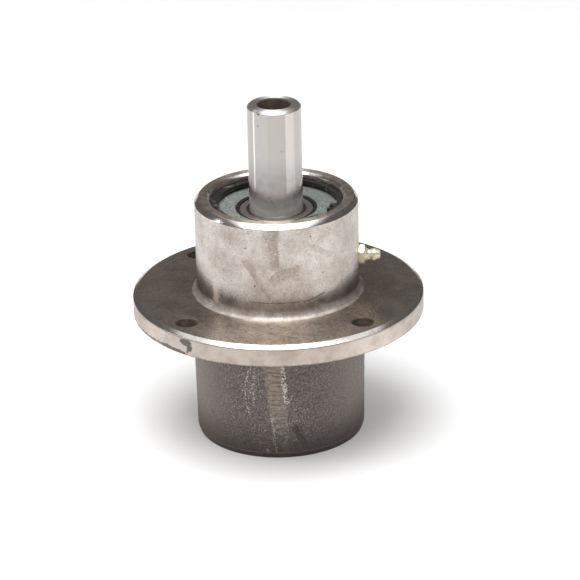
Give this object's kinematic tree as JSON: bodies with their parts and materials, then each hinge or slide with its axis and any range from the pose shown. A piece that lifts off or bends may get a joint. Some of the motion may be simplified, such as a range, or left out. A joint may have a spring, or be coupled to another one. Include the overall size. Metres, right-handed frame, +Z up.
{
  "type": "mower deck spindle",
  "caption": "Flanged cast spindle housing with a hollow shaft on tapered roller bearings, shaft seals, retaining rings and a grease fitting.",
  "frame": {"origin": "on the spindle's axis at the level of the housing's lower rim, on which the part stands", "axes": "+Z up the spindle's axis to the pulley end, +X towards the grease fitting, bolt holes at 45 degrees to X and Y"},
  "size_m": [0.1562, 0.1562, 0.1851],
  "materials": {
    "cast_housing": "machined above the flange, rough cast with dust and stains below",
    "shaft_steel": "ground, slightly hazed",
    "sleeve_steel": "fine turned",
    "bearing_steel": "ground",
    "cage_steel": "pressed sheet",
    "seal_coating": "greenish grey coating",
    "seal_rubber": "matt black",
    "spring_steel": "drawn wire",
    "black_phosphate": "dark phosphate",
    "yellow_zinc": "yellow zinc plate"
  },
  "bodies": {
    "housing": {"spindle_housing": "cast_housing", "grease_fitting_body": "yellow_zinc", "grease_check_spring": "spring_steel", "upper_bearing_cup": "bearing_steel", "upper_seal_case": "seal_coating", "upper_seal_lip": "seal_rubber", "upper_seal_spring": "spring_steel", "upper_retaining_ring": "black_phosphate", "lower_bearing_cup": "bearing_steel", "lower_seal_case": "seal_coating", "lower_seal_lip": "seal_rubber", "lower_seal_spring": "spring_steel", "lower_retaining_ring": "black_phosphate"},
    "spindle": {"spindle_shaft": "shaft_steel", "inner_spacer": "sleeve_steel", "upper_bushing": "sleeve_steel", "upper_bearing_cone": "bearing_steel", "lower_bushing": "sleeve_steel", "lower_bearing_cone": "bearing_steel"},
    "upper_cage": {"upper_bearing_cage": "cage_steel"},
    "upper_roller_01": {"upper_roller_01": "bearing_steel"},
    "upper_roller_02": {"upper_roller_02": "bearing_steel"},
    "upper_roller_03": {"upper_roller_03": "bearing_steel"},
    "upper_roller_04": {"upper_roller_04": "bearing_steel"},
    "upper_roller_05": {"upper_roller_05": "bearing_steel"},
    "upper_roller_06": {"upper_roller_06": "bearing_steel"},
    "upper_roller_07": {"upper_roller_07": "bearing_steel"},
    "upper_roller_08": {"upper_roller_08": "bearing_steel"},
    "upper_roller_09": {"upper_roller_09": "bearing_steel"},
    "upper_roller_10": {"upper_roller_10": "bearing_steel"},
    "upper_roller_11": {"upper_roller_11": "bearing_steel"},
    "upper_roller_12": {"upper_roller_12": "bearing_steel"},
    "upper_roller_13": {"upper_roller_13": "bearing_steel"},
    "lower_cage": {"lower_bearing_cage": "cage_steel"},
    "lower_roller_01": {"lower_roller_01": "bearing_steel"},
    "lower_roller_02": {"lower_roller_02": "bearing_steel"},
    "lower_roller_03": {"lower_roller_03": "bearing_steel"},
    "lower_roller_04": {"lower_roller_04": "bearing_steel"},
    "lower_roller_05": {"lower_roller_05": "bearing_steel"},
    "lower_roller_06": {"lower_roller_06": "bearing_steel"},
    "lower_roller_07": {"lower_roller_07": "bearing_steel"},
    "lower_roller_08": {"lower_roller_08": "bearing_steel"},
    "lower_roller_09": {"lower_roller_09": "bearing_steel"},
    "lower_roller_10": {"lower_roller_10": "bearing_steel"},
    "lower_roller_11": {"lower_roller_11": "bearing_steel"},
    "lower_roller_12": {"lower_roller_12": "bearing_steel"},
    "lower_roller_13": {"lower_roller_13": "bearing_steel"},
    "grease_check_ball": {"grease_check_ball": "bearing_steel"}
  },
  "joints": [
    {"name": "spindle_spin", "type": "hinge", "parent": "housing", "child": "spindle", "pos_m": [0, 0, 0.06675], "axis": [0, 0, 1], "continuous": true},
    {"name": "upper_cage_orbit", "type": "hinge", "parent": "housing", "child": "upper_cage", "pos_m": [0, 0, 0.1013], "axis": [0, 0, 1], "continuous": true},
    {"name": "upper_roller_01_spin", "type": "hinge", "parent": "upper_cage", "child": "upper_roller_01", "pos_m": [0.025, 0, 0.10975], "axis": [0.2504, 0, 0.9681], "continuous": true},
    {"name": "upper_roller_02_spin", "type": "hinge", "parent": "upper_cage", "child": "upper_roller_02", "pos_m": [0.02214, 0.01162, 0.10975], "axis": [0.2217, 0.1164, 0.9681], "continuous": true},
    {"name": "upper_roller_03_spin", "type": "hinge", "parent": "upper_cage", "child": "upper_roller_03", "pos_m": [0.0142, 0.02057, 0.10975], "axis": [0.1422, 0.2061, 0.9681], "continuous": true},
    {"name": "upper_roller_04_spin", "type": "hinge", "parent": "upper_cage", "child": "upper_roller_04", "pos_m": [0.00301, 0.02482, 0.10975], "axis": [0.0302, 0.2486, 0.9681], "continuous": true},
    {"name": "upper_roller_05_spin", "type": "hinge", "parent": "upper_cage", "child": "upper_roller_05", "pos_m": [-0.00886, 0.02337, 0.10975], "axis": [-0.0888, 0.2341, 0.9681], "continuous": true},
    {"name": "upper_roller_06_spin", "type": "hinge", "parent": "upper_cage", "child": "upper_roller_06", "pos_m": [-0.01871, 0.01658, 0.10975], "axis": [-0.1874, 0.166, 0.9681], "continuous": true},
    {"name": "upper_roller_07_spin", "type": "hinge", "parent": "upper_cage", "child": "upper_roller_07", "pos_m": [-0.02427, 0.00598, 0.10975], "axis": [-0.2431, 0.0599, 0.9681], "continuous": true},
    {"name": "upper_roller_08_spin", "type": "hinge", "parent": "upper_cage", "child": "upper_roller_08", "pos_m": [-0.02427, -0.00598, 0.10975], "axis": [-0.2431, -0.0599, 0.9681], "continuous": true},
    {"name": "upper_roller_09_spin", "type": "hinge", "parent": "upper_cage", "child": "upper_roller_09", "pos_m": [-0.01871, -0.01658, 0.10975], "axis": [-0.1874, -0.166, 0.9681], "continuous": true},
    {"name": "upper_roller_10_spin", "type": "hinge", "parent": "upper_cage", "child": "upper_roller_10", "pos_m": [-0.00886, -0.02337, 0.10975], "axis": [-0.0888, -0.2341, 0.9681], "continuous": true},
    {"name": "upper_roller_11_spin", "type": "hinge", "parent": "upper_cage", "child": "upper_roller_11", "pos_m": [0.00301, -0.02482, 0.10975], "axis": [0.0302, -0.2486, 0.9681], "continuous": true},
    {"name": "upper_roller_12_spin", "type": "hinge", "parent": "upper_cage", "child": "upper_roller_12", "pos_m": [0.0142, -0.02057, 0.10975], "axis": [0.1422, -0.2061, 0.9681], "continuous": true},
    {"name": "upper_roller_13_spin", "type": "hinge", "parent": "upper_cage", "child": "upper_roller_13", "pos_m": [0.02214, -0.01162, 0.10975], "axis": [0.2217, -0.1164, 0.9681], "continuous": true},
    {"name": "lower_cage_orbit", "type": "hinge", "parent": "housing", "child": "lower_cage", "pos_m": [0, 0, 0.0322], "axis": [0, 0, 1], "continuous": true},
    {"name": "lower_roller_01_spin", "type": "hinge", "parent": "lower_cage", "child": "lower_roller_01", "pos_m": [0.025, 0, 0.02375], "axis": [0.2504, 0, -0.9681], "continuous": true},
    {"name": "lower_roller_02_spin", "type": "hinge", "parent": "lower_cage", "child": "lower_roller_02", "pos_m": [0.02214, -0.01162, 0.02375], "axis": [0.2217, -0.1164, -0.9681], "continuous": true},
    {"name": "lower_roller_03_spin", "type": "hinge", "parent": "lower_cage", "child": "lower_roller_03", "pos_m": [0.0142, -0.02057, 0.02375], "axis": [0.1422, -0.2061, -0.9681], "continuous": true},
    {"name": "lower_roller_04_spin", "type": "hinge", "parent": "lower_cage", "child": "lower_roller_04", "pos_m": [0.00301, -0.02482, 0.02375], "axis": [0.0302, -0.2486, -0.9681], "continuous": true},
    {"name": "lower_roller_05_spin", "type": "hinge", "parent": "lower_cage", "child": "lower_roller_05", "pos_m": [-0.00886, -0.02337, 0.02375], "axis": [-0.0888, -0.2341, -0.9681], "continuous": true},
    {"name": "lower_roller_06_spin", "type": "hinge", "parent": "lower_cage", "child": "lower_roller_06", "pos_m": [-0.01871, -0.01658, 0.02375], "axis": [-0.1874, -0.166, -0.9681], "continuous": true},
    {"name": "lower_roller_07_spin", "type": "hinge", "parent": "lower_cage", "child": "lower_roller_07", "pos_m": [-0.02427, -0.00598, 0.02375], "axis": [-0.2431, -0.0599, -0.9681], "continuous": true},
    {"name": "lower_roller_08_spin", "type": "hinge", "parent": "lower_cage", "child": "lower_roller_08", "pos_m": [-0.02427, 0.00598, 0.02375], "axis": [-0.2431, 0.0599, -0.9681], "continuous": true},
    {"name": "lower_roller_09_spin", "type": "hinge", "parent": "lower_cage", "child": "lower_roller_09", "pos_m": [-0.01871, 0.01658, 0.02375], "axis": [-0.1874, 0.166, -0.9681], "continuous": true},
    {"name": "lower_roller_10_spin", "type": "hinge", "parent": "lower_cage", "child": "lower_roller_10", "pos_m": [-0.00886, 0.02337, 0.02375], "axis": [-0.0888, 0.2341, -0.9681], "continuous": true},
    {"name": "lower_roller_11_spin", "type": "hinge", "parent": "lower_cage", "child": "lower_roller_11", "pos_m": [0.00301, 0.02482, 0.02375], "axis": [0.0302, 0.2486, -0.9681], "continuous": true},
    {"name": "lower_roller_12_spin", "type": "hinge", "parent": "lower_cage", "child": "lower_roller_12", "pos_m": [0.0142, 0.02057, 0.02375], "axis": [0.1422, 0.2061, -0.9681], "continuous": true},
    {"name": "lower_roller_13_spin", "type": "hinge", "parent": "lower_cage", "child": "lower_roller_13", "pos_m": [0.02214, 0.01162, 0.02375], "axis": [0.2217, 0.1164, -0.9681], "continuous": true},
    {"name": "check_ball_slide", "type": "slide", "parent": "housing", "child": "grease_check_ball", "axis": [-1, 0, 0], "range_m": [0, 0.0008], "stiffness_N_per_m": 100, "springref_m": -0.0005, "deforming": ["grease_check_spring"]}
  ],
  "couplings": [
    {"joint": "upper_cage_orbit", "follows": "spindle_spin", "ratio": 0.40222},
    {"joint": "upper_roller_01_spin", "follows": "spindle_spin", "ratio": -2.3806},
    {"joint": "upper_roller_02_spin", "follows": "spindle_spin", "ratio": -2.3806},
    {"joint": "upper_roller_03_spin", "follows": "spindle_spin", "ratio": -2.3806},
    {"joint": "upper_roller_04_spin", "follows": "spindle_spin", "ratio": -2.3806},
    {"joint": "upper_roller_05_spin", "follows": "spindle_spin", "ratio": -2.3806},
    {"joint": "upper_roller_06_spin", "follows": "spindle_spin", "ratio": -2.3806},
    {"joint": "upper_roller_07_spin", "follows": "spindle_spin", "ratio": -2.3806},
    {"joint": "upper_roller_08_spin", "follows": "spindle_spin", "ratio": -2.3806},
    {"joint": "upper_roller_09_spin", "follows": "spindle_spin", "ratio": -2.3806},
    {"joint": "upper_roller_10_spin", "follows": "spindle_spin", "ratio": -2.3806},
    {"joint": "upper_roller_11_spin", "follows": "spindle_spin", "ratio": -2.3806},
    {"joint": "upper_roller_12_spin", "follows": "spindle_spin", "ratio": -2.3806},
    {"joint": "upper_roller_13_spin", "follows": "spindle_spin", "ratio": -2.3806},
    {"joint": "lower_cage_orbit", "follows": "spindle_spin", "ratio": 0.40222},
    {"joint": "lower_roller_01_spin", "follows": "spindle_spin", "ratio": 2.3806},
    {"joint": "lower_roller_02_spin", "follows": "spindle_spin", "ratio": 2.3806},
    {"joint": "lower_roller_03_spin", "follows": "spindle_spin", "ratio": 2.3806},
    {"joint": "lower_roller_04_spin", "follows": "spindle_spin", "ratio": 2.3806},
    {"joint": "lower_roller_05_spin", "follows": "spindle_spin", "ratio": 2.3806},
    {"joint": "lower_roller_06_spin", "follows": "spindle_spin", "ratio": 2.3806},
    {"joint": "lower_roller_07_spin", "follows": "spindle_spin", "ratio": 2.3806},
    {"joint": "lower_roller_08_spin", "follows": "spindle_spin", "ratio": 2.3806},
    {"joint": "lower_roller_09_spin", "follows": "spindle_spin", "ratio": 2.3806},
    {"joint": "lower_roller_10_spin", "follows": "spindle_spin", "ratio": 2.3806},
    {"joint": "lower_roller_11_spin", "follows": "spindle_spin", "ratio": 2.3806},
    {"joint": "lower_roller_12_spin", "follows": "spindle_spin", "ratio": 2.3806},
    {"joint": "lower_roller_13_spin", "follows": "spindle_spin", "ratio": 2.3806}
  ]
}
